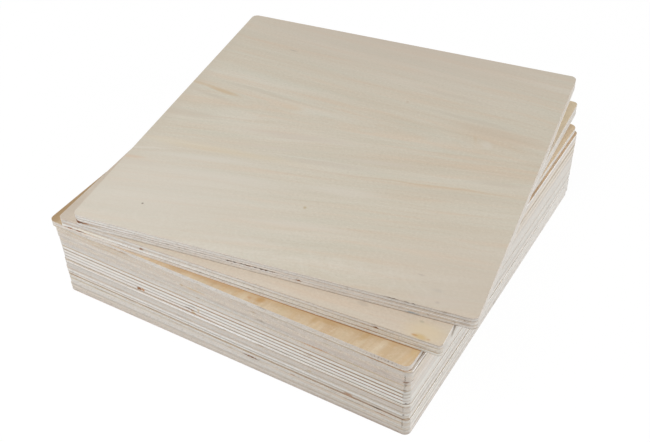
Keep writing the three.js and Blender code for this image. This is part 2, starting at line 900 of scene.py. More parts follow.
    def close_faces(self) -> None:
        """Puts the two faces back on."""
        for level in (self.floor, self.ceiling):
            Bench.pick(self.piece, "EDGE", lambda edge: self.is_rim(edge, level))
            bpy.ops.mesh.edge_face_add()
        bpy.ops.mesh.select_all(action="SELECT")
        bpy.ops.mesh.normals_make_consistent(inside=False)
        bpy.ops.object.mode_set(mode="OBJECT")

    @staticmethod
    def is_rim(edge: bmesh.types.BMEdge, level: float) -> bool:
        """Whether both ends of an edge lie at a level."""
        return all(abs(point.z - level * MM) < SAME for point in Bench.ends(edge))

    def note_layers(self) -> None:
        """Notes each point's height in the lay-up, so that the edge finish follows the veneers."""
        heights = [vert.co.z / MM - self.base for vert in self.piece.data.vertices]
        layer = self.piece.data.attributes.new("layer_height", "FLOAT", "POINT")
        layer.data.foreach_set("value", heights)

    def from_arris(self, point: Vector) -> float:
        """How far a point lies inside the nearer of the two broken edges, in millimetres."""
        height = point.z / MM
        return min(height - self.floor, self.ceiling - height) - ARRIS

    def wear_edges(self) -> None:
        """Roughens the sawn edge, lets the veneers wander a little, and chips the broken edges."""
        Bench.take(self.piece)

        def inner(point: Vector) -> float:
            """All of the wear on the edge's middle, and none at the broken edges."""
            return min(1.0, max(0.0, self.from_arris(point) / WEAR_FADE))

        def rim(point: Vector) -> float:
            """All of the wear on the two broken edges, and none elsewhere."""
            at_edge = max(abs(point.x), abs(point.y)) / MM > HALF - RIM_REACH
            return 1.0 if at_edge and self.from_arris(point) < RIM_REACH else 0.0

        Bench.weights(self.piece, "veneers", inner)
        Bench.weights(self.piece, "rim", rim)
        for wear in WEAR:
            Bench.roughen(self.piece, wear)
        self.piece.vertex_groups.clear()

    def lay_in_place(self) -> None:
        """Turns the board and moves it to its place, with its origin left at the stack's own."""
        Bench.take(self.piece)
        self.piece.rotation_euler.z = math.radians(self.turn)
        self.piece.location = (self.shift[0] * MM, self.shift[1] * MM, 0.0)
        bpy.ops.object.transform_apply(location=True, rotation=True, scale=True)
        bpy.ops.object.shade_smooth_by_angle(angle=math.radians(SMOOTH_ANGLE))

    def dress(self) -> None:
        """Gives the board its edge and face finishes, hangs it on the stack's body, and hides the sheet
        it stands for.
        """
        mesh = self.piece.data
        mesh.materials.append(EdgeFinish(self).lay())
        mesh.materials.append(FaceFinish(self).lay())
        for face in mesh.polygons:
            face.material_index = 1 if abs(face.normal.z) > LEVEL and face.area > BROAD else 0
        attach(self.piece, "root")
        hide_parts(self.node)


class End(Enum):
    """Where along the edges a band's tone is given."""

    LEFT = "left"
    MIDDLE = "middle"
    RIGHT = "right"
    NEAR = "near"
    FAR = "far"


class BoardFinish(Finisher):
    """A finish laid in a board's own frame, in millimetres from its middle and its underside."""

    part = "board"

    def __init__(self, board: Board) -> None:
        """Starts an empty finish.

        Args:
            board: The board that is dressed.
        """
        super().__init__(bpy.data.materials.new(f"{board.name}_{self.part}"))
        self.board = board
        self.seed = board.figure.seed
        source = self.add("TexCoord").outputs["Object"]
        centre = (board.shift[0] * MM, board.shift[1] * MM, board.base * MM)
        self.where = self.place(source, centre, board.turn, (MM, MM, MM))


class EdgeFinish(BoardFinish):
    """The finish of a board's sawn edge: the lay-up's bands, fibres, knife checks and blemishes, and
    the light and shade painted on it.
    """

    part = "edge"

    def lay(self) -> bpy.types.Material:
        """Lays the finish.

        Returns:
            The finished material.
        """
        look, seed = self.board.look, self.seed
        height = self.add("Attribute", attribute_name="layer_height").outputs["Fac"]
        level = self.ragged_level(height)
        x, y, _ = self.split(self.where)
        across, along = self.sum("ABSOLUTE", x), self.sum("ABSOLUTE", y)
        on_front = self.sum("GREATER_THAN", self.sum("ADD", along, SEAM_STEP), across)
        # The front and side tones hold painted light and shade as well as the veneers' colours.
        colour = self.mix(on_front, self.side_tones(level, y), self.front_tones(level, x))
        fading = self.noise(self.where, (28, 28, 3), start=(0, seed, 0))
        colour = self.mix(self.spread(fading, 0.45, 0.75, 0.0, look.fade), colour, look.body)
        tinge = self.noise(self.where, (3.0, 3.0, 1.6), 2.0, 0.6, start=(0, 0, seed))
        colour = self.vary(colour, tinge, 0.22, Tone(226, 198, 168), Tone(192, 198, 194))
        cracks = self.sum("MULTIPLY", self.knife_checks(), look.hatch)
        colour = self.mix(cracks, colour, Tone(146, 128, 112))
        fibre, crossed = self.fibres(level)
        colour = self.vary(colour, fibre, look.grain, Tone(150, 132, 116), Tone(240, 236, 230))
        # Painted shade: the rounded corners are greyed towards the corner shade.
        colour = self.mix(self.corner_shade_share(across, along, height), colour, look.corner_shade)
        bent = self.noise(self.where, (2.0, 2.0, 1.0), 1.0, start=(seed, 0, 0))
        uneven = self.shaken(self.where, bent, (0.9, 0.9, 0.9))
        # Painted shade inside the opened gaps.
        shades = tuple(hollow.shade() for hollow in self.board.hollows)
        colour = self.marks(colour, uneven, self.board.edge_marks + shades)
        relief = self.sum("ADD", fibre, self.sum("MULTIPLY", crossed, 0.4))
        return self.surface(colour, rough=0.78, height=relief, depth=0.12)

    def ragged_level(self, height: Socket) -> Socket:
        """The share of the thickness at which a point lies, with the layers made ragged.

        Args:
            height: The height above the underside.

        Returns:
            The share's socket.
        """
        start = (self.seed, 0, 0)
        wander = self.sum("MULTIPLY", self.noise(self.where, (9, 9, 4), 1.0, start=start), 0.25)
        ragged = self.sum("MULTIPLY", self.noise(self.where, (1.4, 1.4, 0.8), 1.0, start=start), 0.35)
        uneven = self.sum("SUBTRACT", self.sum("ADD", wander, ragged), 0.3)
        level = self.sum("ADD", height, self.sum("MULTIPLY", uneven, self.board.look.waver))
        return self.sum("DIVIDE", level, self.board.thickness, clamp=True)

    def layers(self, level: Socket, end: End) -> Socket:
        """The layers' own tones at one end of an edge.

        Args:
            level: The share of the thickness at which a point lies.
            end: Where along the edges the tones are taken.

        Returns:
            The colour's socket.
        """
        stops = []
        low = 0.0
        for band in self.board.bands:
            soft = min(LAYER_SOFTNESS, (band.top - low) / 4)
            tone = getattr(band, end.value)
            stops += [(height / self.board.thickness, tone) for height in (low + soft, band.top - soft)]
            low = band.top
        return self.ramp(level, stops)

    def front_tones(self, level: Socket, x: Socket) -> Socket:
        """The tones of the front and back edges, which change from the left to the middle to the right.

        Args:
            level: The share of the thickness at which a point lies.
            x: Where it lies along the edge.

        Returns:
            The colour's socket.
        """
        left, middle, right = (self.layers(level, end) for end in (End.LEFT, End.MIDDLE, End.RIGHT))
        colour = self.mix(self.spread(x, -END_REACH, 0.0, kind="LINEAR"), left, middle)
        return self.mix(self.spread(x, 0.0, END_REACH, kind="LINEAR"), colour, right)

    def side_tones(self, level: Socket, y: Socket) -> Socket:
        """The tones of the two side edges, which change from the near end to the far one.

        Args:
            level: The share of the thickness at which a point lies.
            y: Where it lies along the edge.

        Returns:
            The colour's socket.
        """
        near, far = self.layers(level, End.NEAR), self.layers(level, End.FAR)
        return self.mix(self.spread(y, NEAR_REACH, FAR_REACH, kind="LINEAR"), near, far)

    def fibres(self, level: Socket) -> tuple[Socket, Socket]:
        """The fibres of the sawn edge, which run the way each veneer does.

        Args:
            level: The share of the thickness at which a point lies.

        Returns:
            The fibre pattern, and the crosswise one alone.
        """
        lengthwise = self.noise(self.where, (14, 0.7, 0.35), 3.0, 0.6, start=(self.seed, self.seed, 0))
        crosswise = self.noise(self.where, (0.8, 14, 0.6), 3.0, 0.6, start=(0, self.seed, 0))
        node = self.add("ValToRGB", {"Fac": level})
        node.color_ramp.interpolation = "CONSTANT"
        stops = node.color_ramp.elements
        low = 0.0
        for number, band in enumerate(self.board.bands):
            stop = stops[number] if number < 2 else stops.new(low)
            stop.position = low
            share = band.layer.value
            stop.color = (share, share, share, 1.0)
            low = min(1.0, band.top / self.board.thickness)
        mixed = self.add("Mix", {0: node.outputs["Color"], 2: lengthwise, 3: crosswise})
        return mixed.outputs[0], crosswise

    def knife_checks(self) -> Socket:
        """The short slanted cracks that peeling leaves in a veneer.

        Returns:
            The socket of how dark they are, from 0 to 1.
        """
        x, y, z = self.split(self.where)
        slant = self.sum("SUBTRACT", self.sum("ADD", x, y), self.sum("MULTIPLY", z, 1.2))
        cracks = self.noise(self.join(slant, z, self.seed), (1.1, 1.6, 1), 1.0, 0.6)
        return self.spread(cracks, 0.52, 0.7)

    def corner_shade_share(self, across: Socket, along: Socket, height: Socket) -> Socket:
        """How far a point is into one of the rounded corners, which the corner shade greys as painted
        shade.

        Args:
            across: The distance from the board's middle along X.
            along: The same along Y.
            height: The height above the underside.

        Returns:
            The share, which is nothing at the seams.
        """
        inner = HALF - self.board.corner_radius + CORNER_EASE
        turned = self.sum("MULTIPLY", *(self.spread(way, inner, inner + 1.0) for way in (across, along)))
        inset = self.sum("MINIMUM", height, self.sum("SUBTRACT", self.board.thickness, height))
        clear = self.sum("MULTIPLY", turned, self.spread(inset, 0.2, 0.7))
        return self.sum("MULTIPLY", clear, self.board.look.corner_shading)


class FaceFinish(BoardFinish):
    """The finish of a board's two faces: broad bands, fine streaks, mottling, pores and blemishes, and
    the light and shade painted on them.
    """

    part = "face"

    def lay(self) -> bpy.types.Material:
        """Lays the finish.

        Returns:
            The finished material.
        """
        figure = self.board.figure
        grain = self.grain_lines()
        swayed = self.shaken(grain, self.noise(grain, (120, 60, 20), 1.0), (0.0, 6.0, 0.0))
        band = self.noise(swayed, (260, figure.band_width, 40))
        colour = self.ramp(band, [(0.3, figure.light), (0.5, figure.mid), (0.7, figure.dark)], "EASE")
        streak = self.noise(swayed, (120, 3.0, 9), 3.0, 0.6)
        colour = self.vary(colour, streak, figure.streak_contrast, figure.streak, figure.light)
        tint = self.noise(swayed, (130, 9, 20), 2.0, 0.6, start=(31, 17, 0))
        colour = self.mix(self.spread(tint, 0.5, 0.7, 0.0, 0.4), colour, figure.blush)
        colour = self.mix(self.spread(tint, 0.5, 0.3, 0.0, 0.3), colour, figure.cool)
        if figure.curl:
            colour = self.curls(colour)
        pore = self.noise(swayed, (6.0, 0.7, 3), 2.0, 0.6)
        colour = self.mix(self.spread(pore, 0.55, 0.75, 0.0, 0.2), colour, figure.streak)
        mottle = self.noise(self.where, (2.2, 1.6, 2), 2.0, 0.6, start=(self.seed, 0, 0))
        colour = self.vary(colour, mottle, 0.14, Tone(172, 158, 138), Tone(238, 232, 220))
        bent = self.noise(self.where, (30, 12, 12), start=(self.seed, 0, 0))
        wavering = self.shaken(self.where, bent, (0.0, 2.0, 0.0))
        colour = self.marks(colour, wavering, self.upper_marks(steady=False))
        colour = self.marks(colour, self.where, self.upper_marks(steady=True))
        relief = self.sum("ADD", self.sum("MULTIPLY", pore, 0.5), streak)
        return self.surface(colour, rough=0.62, height=relief, depth=0.05)

    def upper_marks(self, steady: bool) -> list[Mark]:
        """The face's steady marks, or its wavering ones, raised to the upper face."""
        chosen = [mark for mark in self.board.face_marks if mark.steady is steady]
        return [replace(mark, centre=(*mark.centre[:2], self.board.thickness)) for mark in chosen]

    def grain_lines(self) -> Socket:
        """Coordinates that run along and across the flames of the face's figure.

        Returns:
            The coordinates' socket, with the distance across the grain as their second value.
        """
        figure = self.board.figure
        x, y, _ = self.split(self.place(self.where, turn=figure.turn))
        off = self.sum("SUBTRACT", y, figure.heart)
        fold = self.sum("SQRT", self.sum("ADD", self.sum("MULTIPLY", off, off), TIP_ROUNDING))
        near, far = (math.tan(math.radians(angle)) for angle in figure.rise)
        lean = self.sum("MULTIPLY", x, self.spread(off, -TIP_REACH, TIP_REACH, near, -far))
        apart = self.spread(off, -LIMB_REACH, LIMB_REACH, 0.0, 90.0)
        lines = self.join(x, self.sum("ADD", fold, lean), apart)
        return self.place(lines, (self.seed * 7, self.seed * 13, 0))

    def curls(self, colour: Socket) -> Socket:
        """Lays the small nested arcs near the front edge, where the veneer was cut almost flat.

        Args:
            colour: The colour they lie on.

        Returns:
            The colour with the arcs on it.
        """
        figure = self.board.figure
        flat = self.noise(self.where, (34, 30, 20), 1.0, 0.4, 0.3, (self.seed, 0, 0))
        waves = self.sum("SINE", self.sum("MULTIPLY", flat, CURL_RATE))
        share = self.spread(self.split(self.where)[1], *CURLED, 0.0, figure.curl)
        for crest, tone in ((1.0, figure.streak), (-1.0, Tone(232, 227, 217))):
            arc = self.sum("MULTIPLY", self.spread(waves, crest * ARC_START, crest), share)
            colour = self.mix(arc, colour, tone)
        return colour


def sheet_01_bottom() -> Board:
    """The bottom sheet, thin and greyish.

    Returns:
        The board, not built yet.
    """
    return Board(
        node="sheet_01_bottom",
        slot="greyish_board",
        thickness=6.2,
        shift=(0.0, 0.0),
        turn=0.0,
        bands=(
            Band(1.8, LONG, BLUSH, DUNE, MINK, DOVE, CHALK),
            Band(2.8, CROSS, PEBBLE, SAND, BLUSH, MILK, PEARL),
            Band(4.6, LONG, SAND, DOUGH, PEBBLE, DOUGH, FLAX),
            Band(6.2, LONG, GRIST, PUTTY, HUSK, PAPER, SHELL),
        ),
        figure=plain_figure(1.3),
        look=EdgeLook(Tone(203, 193, 182), fade=0.2),
        edge_marks=(
            *RIGHT.flecks(SLATE, (-131, 5, 15, 0.7, 0.6)),
            *RIGHT.flecks(COCOA, (-6, 2.6, 3.5, 1.4, 0.6)),
            *RIGHT.flecks(STRAW, (-17, 3.4, 4, 1, 0.5)),
        ),
        drop=0.0,
    )


def sheet_02() -> Board:
    """The second sheet, greyish, with a long core gap near the middle of its front edge.

    Returns:
        The board, not built yet.
    """
    return Board(
        node="sheet_02",
        slot="greyish_board",
        thickness=10.7,
        shift=(0.7, 0.0),
        turn=-0.09,
        bands=(
            Band(0.8, LONG, CLAY, STONE, BISCUIT, DOVE, LINEN),
            Band(2.0, LONG, PEBBLE, FLAX, PUTTY, PEARL, SHELL),
            Band(3.8, CROSS, FLAX, FLAX, DOVE, PEARL, SHELL),
            Band(6.1, LONG, FLAX, DOUGH, WHEAT, DOVE, BONE),
            Band(6.7, GLUE, OATS, STRAW, TAN, SALT, MILK),
            Band(8.4, CROSS, STRAW, PUMICE, PUMICE, IVORY, SHELL),
            Band(10.0, LONG, LINEN, BONE, BISCUIT, PUMICE, LINEN),
            Band(10.7, LONG, CREAM, TAN, UMBER, SNOW, FROST),
        ),
        figure=plain_figure(2.7),
        look=EdgeLook(Tone(206, 200, 190)),
        hollows=(
            Hollow(15, 29, 6.1, 6.7, 1.2, KNOT),
        ),
        edge_marks=(
            *FRONT.flecks(
                SPECK, (-114, 7.7, 18, 0.7, 0.4), (91, 8.2, 6, 0.7, 0.4), (107, 6.3, 11, 0.7, 0.5),
            ),
            *FRONT.flecks(TAN, (-41, 7.5, 11, 0.6, 0.4), (4, 6.8, 4, 0.8, 0.6)),
            *FRONT.flecks(KNOT, (22, 6.8, 9, 0.9, 0.8)),
            *FRONT.flecks(
                RUST, (58, 6.7, 4, 0.8, 0.5), (129, 6.3, 7, 0.8, 0.6), (104, 10.6, 6, 0.8, 0.5),
            ),
            *FRONT.flecks(SOOT, (125, 10.7, 6, 0.7, 0.9)),
            at_corner((144.9, -150, 5.4), (0.8, 2, 6.5), SLATE, 0.8),
            *RIGHT.flecks(SPECK, (-131, 0.4, 16, 0.7, 0.7)),
            *RIGHT.flecks(STONE, (-124, 4.9, 26, 0.7, 0.5)),
        ),
    )


def sheet_03() -> Board:
    """The third sheet, thin and whitish, with a rusty fleck low on its front edge.

    Returns:
        The board, not built yet.
    """
    return Board(
        node="sheet_03",
        slot="whitish_board",
        thickness=6.2,
        shift=(0.1, 0.3),
        turn=-0.22,
        bands=(
            Band(0.7, LONG, WALNUT, ACORN, WALNUT, SNOW, FROST),
            Band(2.1, LONG, CREAM, SALT, PUTTY, BONE, SHELL),
            Band(3.2, CROSS, STONE, ASH, HUSK, SHELL, IVORY),
            Band(5.3, LONG, PEARL, SALT, LINEN, PEBBLE, DOVE),
            Band(6.2, LONG, SAND, BLUSH, DUNE, CLAY, STONE),
        ),
        figure=plain_figure(3.9),
        look=EdgeLook(Tone(208, 203, 196), fade=0.04),
        edge_marks=(
            *FRONT.flecks(RUST, (104, 1.5, 5, 1.2, 0.8)),
            *FRONT.flecks(SOOT, (126, 0.1, 7, 0.7, 0.9)),
            *FRONT.flecks(RUST, (106, 0.1, 20, 0.6, 0.4), (-139, 0.4, 9, 0.6, 0.5)),
            at_corner((146.4, -149.6, 4.3), (1, 1.4, 1.1), BARK, 0.8),
            at_corner((149.7, -147, 5.9), (1.6, 1.8, 0.6), RUST, 0.8),
            *RIGHT.flecks(ASH, (-122, 4.9, 26, 0.7, 0.6)),
        ),
    )


def sheet_04() -> Board:
    """The fourth sheet, greyish, with short brown flecks along one glue line.

    Returns:
        The board, not built yet.
    """
    return Board(
        node="sheet_04",
        slot="greyish_board",
        thickness=8.3,
        shift=(0.5, 0.5),
        turn=-0.17,
        bands=(
            Band(0.9, LONG, BLUSH, DUNE, HUSK, CLAY, DUNE),
            Band(3.6, LONG, PUMICE, PUMICE, DUNE, LINEN, LINEN),
            Band(5.3, CROSS, PEBBLE, SAND, DUNE, DOVE, BONE),
            Band(6.4, GLUE, STONE, PUTTY, ACORN, PAPER, BONE),
            Band(7.8, LONG, MILK, FROST, OATS, PEARL, DOUGH),
            Band(8.3, LONG, SAND, FROST, CHALK, CHALK, PEBBLE),
        ),
        figure=plain_figure(5.1),
        look=EdgeLook(Tone(205, 199, 191), fade=0.04),
        edge_marks=(
            *FRONT.flecks(SLATE, (-3, 5.9, 9, 0.7, 0.6)),
            *FRONT.flecks(ACORN, (1.5, 6, 2.6, 0.8, 0.7), (31.5, 6.1, 5.5, 0.8, 0.8)),
            *FRONT.flecks(KHAKI, (72, 1.5, 3.2, 1.2, 0.7)),
            *FRONT.flecks(TAN, (100, 1.4, 8, 0.6, 0.4)),
            at_corner((145.6, -149.8, 4.4), (0.6, 1.4, 4), SLATE, 0.5),
            *RIGHT.flecks(MINK, (-128, 4.6, 22, 0.6, 0.6), (-126, 0.7, 26, 0.6, 0.6)),
        ),
    )


def sheet_05() -> Board:
    """The fifth sheet, the thickest and palest, with a brown knot low on its front edge.

    Returns:
        The board, not built yet.
    """
    return Board(
        node="sheet_05",
        slot="whitish_board",
        thickness=14.1,
        shift=(0.3, 1.2),
        turn=-0.25,
        bands=(
            Band(0.4, GLUE, UMBER, PEAT, PEAT, FLAX, BLUSH),
            Band(3.0, LONG, SHELL, MILK, BONE, PAPER, PAPER),
            Band(3.8, CROSS, MINK, WALNUT, UMBER, PAPER, FLAX),
            Band(6.2, LONG, PEARL, SALT, PEARL, LINEN, PAPER),
            Band(7.3, CROSS, CLAY, MINK, UMBER, BONE, PAPER),
            Band(9.5, LONG, MILK, CHALK, IVORY, PUMICE, FLAX),
            Band(10.8, CROSS, HAZEL, ACORN, WALNUT, DOVE, PAPER),
            Band(13.3, LONG, PEARL, MILK, BONE, PUMICE, PEBBLE),
            Band(14.1, LONG, TAN, ACORN, ACORN, WHEAT, OATS),
        ),
        figure=plain_figure(6.4),
        look=EdgeLook(Tone(214, 208, 200), fade=0.03, waver=0.45, grain=0.2, hatch=0.05, corner_shading=0.62),
        edge_marks=(
            *FRONT.flecks(CHESTNUT, (-75, 1.95, 3, 1.7, 1), softness=0.6),
            *FRONT.flecks(GINGER, (-71.6, 2, 2.2, 1.6, 1), softness=0.6),
            *FRONT.flecks(COCOA, (-29.5, 3.9, 5.2, 0.7, 0.9)),
            *FRONT.flecks(Tone(150, 114, 82), (-26.5, 3.1, 2.4, 1, 0.9)),
            *FRONT.flecks(Tone(184, 164, 116), (-25.4, 1.2, 2.2, 1.5, 0.8)),
            *FRONT.flecks(HAY, (-20.8, 5.7, 1.4, 2.2, 0.8)),
            *FRONT.flecks(SLATE, (-25.5, 7.4, 4.5, 0.6, 0.7)),
            *FRONT.flecks(
                RUST, (-24, 0.3, 8, 0.6, 0.6), (-36, 0.4, 46, 1.1, 0.6), (-74, 10.3, 12, 0.6, 0.3),
            ),
            *FRONT.flecks(TAN, (60, 7.1, 24, 0.7, 0.4), (72, 8.7, 5, 0.9, 0.5)),
            *FRONT.flecks(HAZEL, (96, 0.4, 26, 0.6, 0.5)),
            at_corner((145.6, -149.8, 8.5), (0.6, 1.4, 5), PEWTER, 0.6),
            at_corner((147.5, -149.2, 1.3), (1.3, 1.4, 0.8), Tone(104, 90, 78), 0.8),
            at_corner((146.6, -149.5, 12.9), (1.4, 1.5, 0.8), SLATE, 0.7),
        ),
    )


def sheet_06() -> Board:
    """The sixth sheet, pinkish, with a tan streak along a glue line.

    Returns:
        The board, not built yet.
    """
    return Board(
        node="sheet_06",
        slot="pinkish_board",
        thickness=10.1,
        shift=(0.5, 1.0),
        turn=-0.25,
        bands=(
            Band(0.5, LONG, FAWN, FAWN, HONEY, DUNE, DOUGH),
            Band(2.8, LONG, PUMICE, PAPER, PUTTY, PAPER, CREAM),
            Band(4.8, CROSS, PEBBLE, GRIST, SAND, DOUGH, PUTTY),
            Band(5.8, GLUE, SAND, STRAW, HONEY, DUNE, OATS),
            Band(8.3, CROSS, BISCUIT, DOVE, BLUSH, DOUGH, OATS),
            Band(10.1, LONG, DOUGH, PUTTY, DUNE, MINK, HAZEL),
        ),
        figure=FaceFigure(
            Tone(212, 200, 186), Tone(204, 190, 174), Tone(198, 180, 162), Tone(186, 166, 146),
            seed=7.7,
        ),
        look=EdgeLook(Tone(207, 196, 186), fade=0.1, grain=0.42, hatch=0.12),
        edge_marks=(
            *FRONT.flecks(GINGER, (78, 5.7, 16, 0.8, 0.8)),
            *FRONT.flecks(KHAKI, (110, 5.6, 26, 0.6, 0.4)),
            *FRONT.flecks(
                SPECK, (34, 8.8, 7, 0.7, 0.5), (34, 0.3, 22, 0.5, 0.4), (125, 8.1, 2, 0.7, 0.5),
            ),
            *FRONT.flecks(HAZEL, (-19, 5.4, 3, 0.9, 0.7), (16, 0.6, 4, 0.6, 0.5)),
            *FRONT.flecks(TAN, (-40, 0.6, 12, 0.6, 0.5)),
            at_corner((147.4, -149.2, 6), (1.2, 1.4, 1.5), COCOA, 0.6),
            at_corner((146.4, -149.6, 0.9), (1.8, 1.6, 0.8), COCOA, 0.7),
            at_corner((147.4, -149, 8.8), (3.4, 3, 0.9), UMBER, 0.9, 0.6),
            at_corner((146.8, -149.5, 5.5), (0.7, 1.4, 4.5), TAUPE, 0.6),
            *RIGHT.flecks(BLUSH, (-122, 9.9, 22, 0.7, 0.5), (-122, 6.4, 24, 0.6, 0.5)),
        ),
    )


def sheet_07() -> Board:
    """The seventh sheet, pinkish, with a dark seam under its right edge, partly painted shade, and above it
    a ledge lightened by painted light, with painted shade at the golden sheet's foot and a painted
    highlight on its rim.

    Returns:
        The board, not built yet.
    """
    return Board(
        node="sheet_07",
        slot="pinkish_board",
        thickness=10.1,
        shift=(1.2, 0.1),
        turn=-0.1,
        bands=(
            Band(0.4, LONG, FLAX, DUNE, SAND, HUSK, HAZEL),
            Band(2.2, LONG, DUNE, SAND, BLUSH, BISCUIT, STRAW),
            Band(4.9, CROSS, GRIST, BISCUIT, WHEAT, DUNE, CREAM),
            Band(7.0, LONG, WHEAT, SAND, DUNE, OATS, PEBBLE),
            Band(9.2, CROSS, BISCUIT, SAND, DUNE, CLAY, FLAX),
            Band(10.1, LONG, PEACH, SAND, HONEY, SNOW, SNOW),
        ),
        figure=FaceFigure(
            Tone(214, 188, 156), Tone(206, 178, 146), Tone(198, 168, 134), Tone(186, 152, 116),
            seed=8.2,
        ),
        look=EdgeLook(Tone(207, 195, 182), fade=0.1, grain=0.42, hatch=0.12),
        edge_marks=(
            *FRONT.flecks(RUST, (130, 10, 20, 0.7, 0.8)),
            *FRONT.flecks(Tone(196, 158, 128), (86, 10, 8, 0.6, 0.6)),
            *FRONT.flecks(TAN, (28.5, 6.2, 4.5, 0.9, 0.7)),
            *FRONT.flecks(KHAKI, (47, 9.5, 3.5, 0.8, 0.6), (87, 5.1, 5, 0.9, 0.6)),
            *FRONT.flecks(
                HAY, (-22, 3, 14, 1.1, 0.8), (-112, 9.2, 34, 1.4, 0.5), (-100, 6.8, 26, 0.8, 0.5),
            ),
            *FRONT.flecks(TAN, (-32.5, 3.2, 2.2, 1.2, 0.8)),
            *FRONT.flecks(SPECK, (34, 0.5, 6, 0.7, 0.6)),
            *FRONT.flecks(FAWN, (-46, 7.2, 3, 1, 0.5)),
            at_corner((145.8, -149.8, 3), (0.8, 1.6, 5.5), TAUPE, 0.7),
            # The dark seam along the underside, at the corner, the front's right end and the right edge:
            # the bottom veneer's brown and painted shade in the gap below.
            at_corner((147.5, -147.5, 0), (5.5, 5.5, 0.7), BARK, 0.8, 0.6),
            *FRONT.flecks(SPECK, (134, 0.1, 14, 0.5, 0.5)),
            *RIGHT.flecks(BARK, (50, 0.1, 70, 0.6, 1)),
            *RIGHT.flecks(Tone(128, 106, 88), (-138, 8.3, 13, 0.7, 0.9)),
            *RIGHT.flecks(HUSK, (-128, 6.4, 20, 0.5, 0.5)),
        ),
        face_marks=(
            # Painted light on the ledge that the golden sheet leaves bare, which the sheets above shade: a
            # broad lightening and a pale highlight on the rim. The dark steady line is painted shade at the
            # golden sheet's foot.
            *on_face(IVORY, (149, -110, 16, 120, 0.9, 0)),
            *on_face(Tone(240, 236, 230), (149.6, -129, 1.1, 16, 0.75, 0), steady=True),
            *on_face(Tone(116, 92, 74), (148, -124, 0.7, 24, 0.9, 0), softness=0.7, steady=True),
        ),
    )


def sheet_08_golden() -> Board:
    """The eighth sheet, thin, with a golden face whose grain runs from front to back.

    Returns:
        The board, not built yet.
    """
    return Board(
        node="sheet_08_golden",
        slot="golden_board",
        thickness=4.9,
        shift=(-0.5, -0.3),
        turn=0.05,
        bands=(
            Band(0.5, LONG, PEACH, DUNE, HAZEL, WALNUT, PEACH),
            Band(1.4, LONG, STRAW, BISCUIT, OATS, DUNE, PUMICE),
            Band(4.2, CROSS, DOUGH, FLAX, SAND, PAPER, LINEN),
            Band(4.9, LONG, WHEAT, BONE, GRIST, PUMICE, CREAM),
        ),
        figure=FaceFigure(
            Tone(217, 199, 172), Tone(209, 187, 156), Tone(203, 177, 144), Tone(190, 156, 118),
            blush=Tone(207, 172, 126), cool=Tone(204, 190, 158), turn=82.0, band_width=14.0,
            streak_contrast=0.26, seed=9.5,
        ),
        look=EdgeLook(Tone(208, 199, 189)),
        edge_marks=(
            *FRONT.flecks(TAN, (-90, 1.7, 22, 1, 0.6)),
            *FRONT.flecks(RUST, (-84, 2, 9, 0.5, 0.5), (128, 0.1, 26, 0.5, 0.6)),
            *FRONT.flecks(SPECK, (38, 4.2, 5, 0.8, 0.6)),
            *FRONT.flecks(HONEY, (-15, 1.2, 4, 0.8, 0.5)),
            *FRONT.flecks(MINK, (131, 3.3, 15, 1.3, 0.4)),
            # The seam under the front right corner: the bottom veneer's brown and painted shade in the gap
            # below.
            at_corner((146.5, -148, 0.1), (6, 6, 0.6), COPPER, 0.8, 0.5),
            # Painted shade on the near end of the right edge, under the ninth sheet's overhang, and a dark
            # brown line low on it: the lowest glue line and painted shade.
            *RIGHT.flecks(Tone(112, 86, 64), (-128.5, 2.4, 4.5, 4, 0.3), softness=0.9),
            *RIGHT.flecks(SIENNA, (-135, 0.7, 11, 0.6, 0.9), softness=0.6),
            *RIGHT.flecks(SIENNA, (-129, 1.4, 4, 0.7, 0.6)),
            # More of that seam just round the corner: the bottom veneer's brown and painted shade in the
            # gap below.
            at_corner((149.2, -146, 0.4), (2.2, 4.5, 0.6), CHESTNUT, 0.8, 0.6),
            *FRONT.flecks(
                SPECK, (119, 3, 0.5, 1.1, 0.7), (122.2, 3.1, 0.6, 1.2, 0.7), (124.8, 3, 0.5, 1.1, 0.7),
                (127.4, 3.2, 0.5, 1.2, 0.8), (130, 3.1, 0.6, 1.1, 0.7), (132.6, 3.2, 0.5, 1.2, 0.8),
                (141, 3.2, 0.5, 1.1, 0.7), (104, 3.4, 0.5, 0.9, 0.5), (94, 3.3, 0.5, 0.9, 0.4),
            ),
            *FRONT.flecks(COCOA, (135, 3.3, 0.6, 1.2, 0.8), (137.7, 3.4, 0.6, 1.2, 0.8)),
        ),
        face_marks=(
            # Painted shade along the ninth sheet's front edge, where it rests on this face: the long first
            # patch below and the three marks after it that are turned with that sheet.
            *on_face(
                OCHRE, (60, -138.5, 150, 8.5, 0.4, 3.99), (75, -143.5, 6, 3.5, 0.45, 60),
                (112, -139.4, 9, 3.5, 0.5, 60),
            ),
            *on_face(Tone(194, 160, 122), (-12, -144.5, 50, 4.5, 0.7, 3.99)),
            *on_face(Tone(204, 184, 164), (-80, -148, 46, 3, 0.9, 3.99)),
            *on_face(BRONZE, (100, -136, 145, 1.4, 0.85, 3.94), softness=0.6, steady=True),
            *on_face(GINGER, (25.5, -146.6, 2.4, 1.4, 0.6, 0)),
            *on_face(Tone(190, 146, 90), (33.5, -145, 5, 3, 0.6, 20)),
            *on_face(BUTTER, (90.6, -145.5, 7, 0.8, 0.35, 70), (95.5, -144, 8, 0.8, 0.3, 66)),
            *on_face(MUSTARD, (147, -137, 3.5, 7, 0.35, 0)),
            *on_face(HAY, (129.5, -143.8, 10, 4, 0.5, 30)),
            *on_face(CARAMEL, (-152, -120, 18, 110, 0.93, 0)),
            *on_face(KHAKI, (-126, -149, 20, 3, 0.8, 0)),
            *on_face(OCHRE, (84, -140.5, 8, 3, 0.4, 0)),
            # Painted light: the right end of the face, which the sheets above shade, is lightened.
            *on_face(ALMOND, (148, 80, 12, 100, 0.8, 0)),
        ),
    )


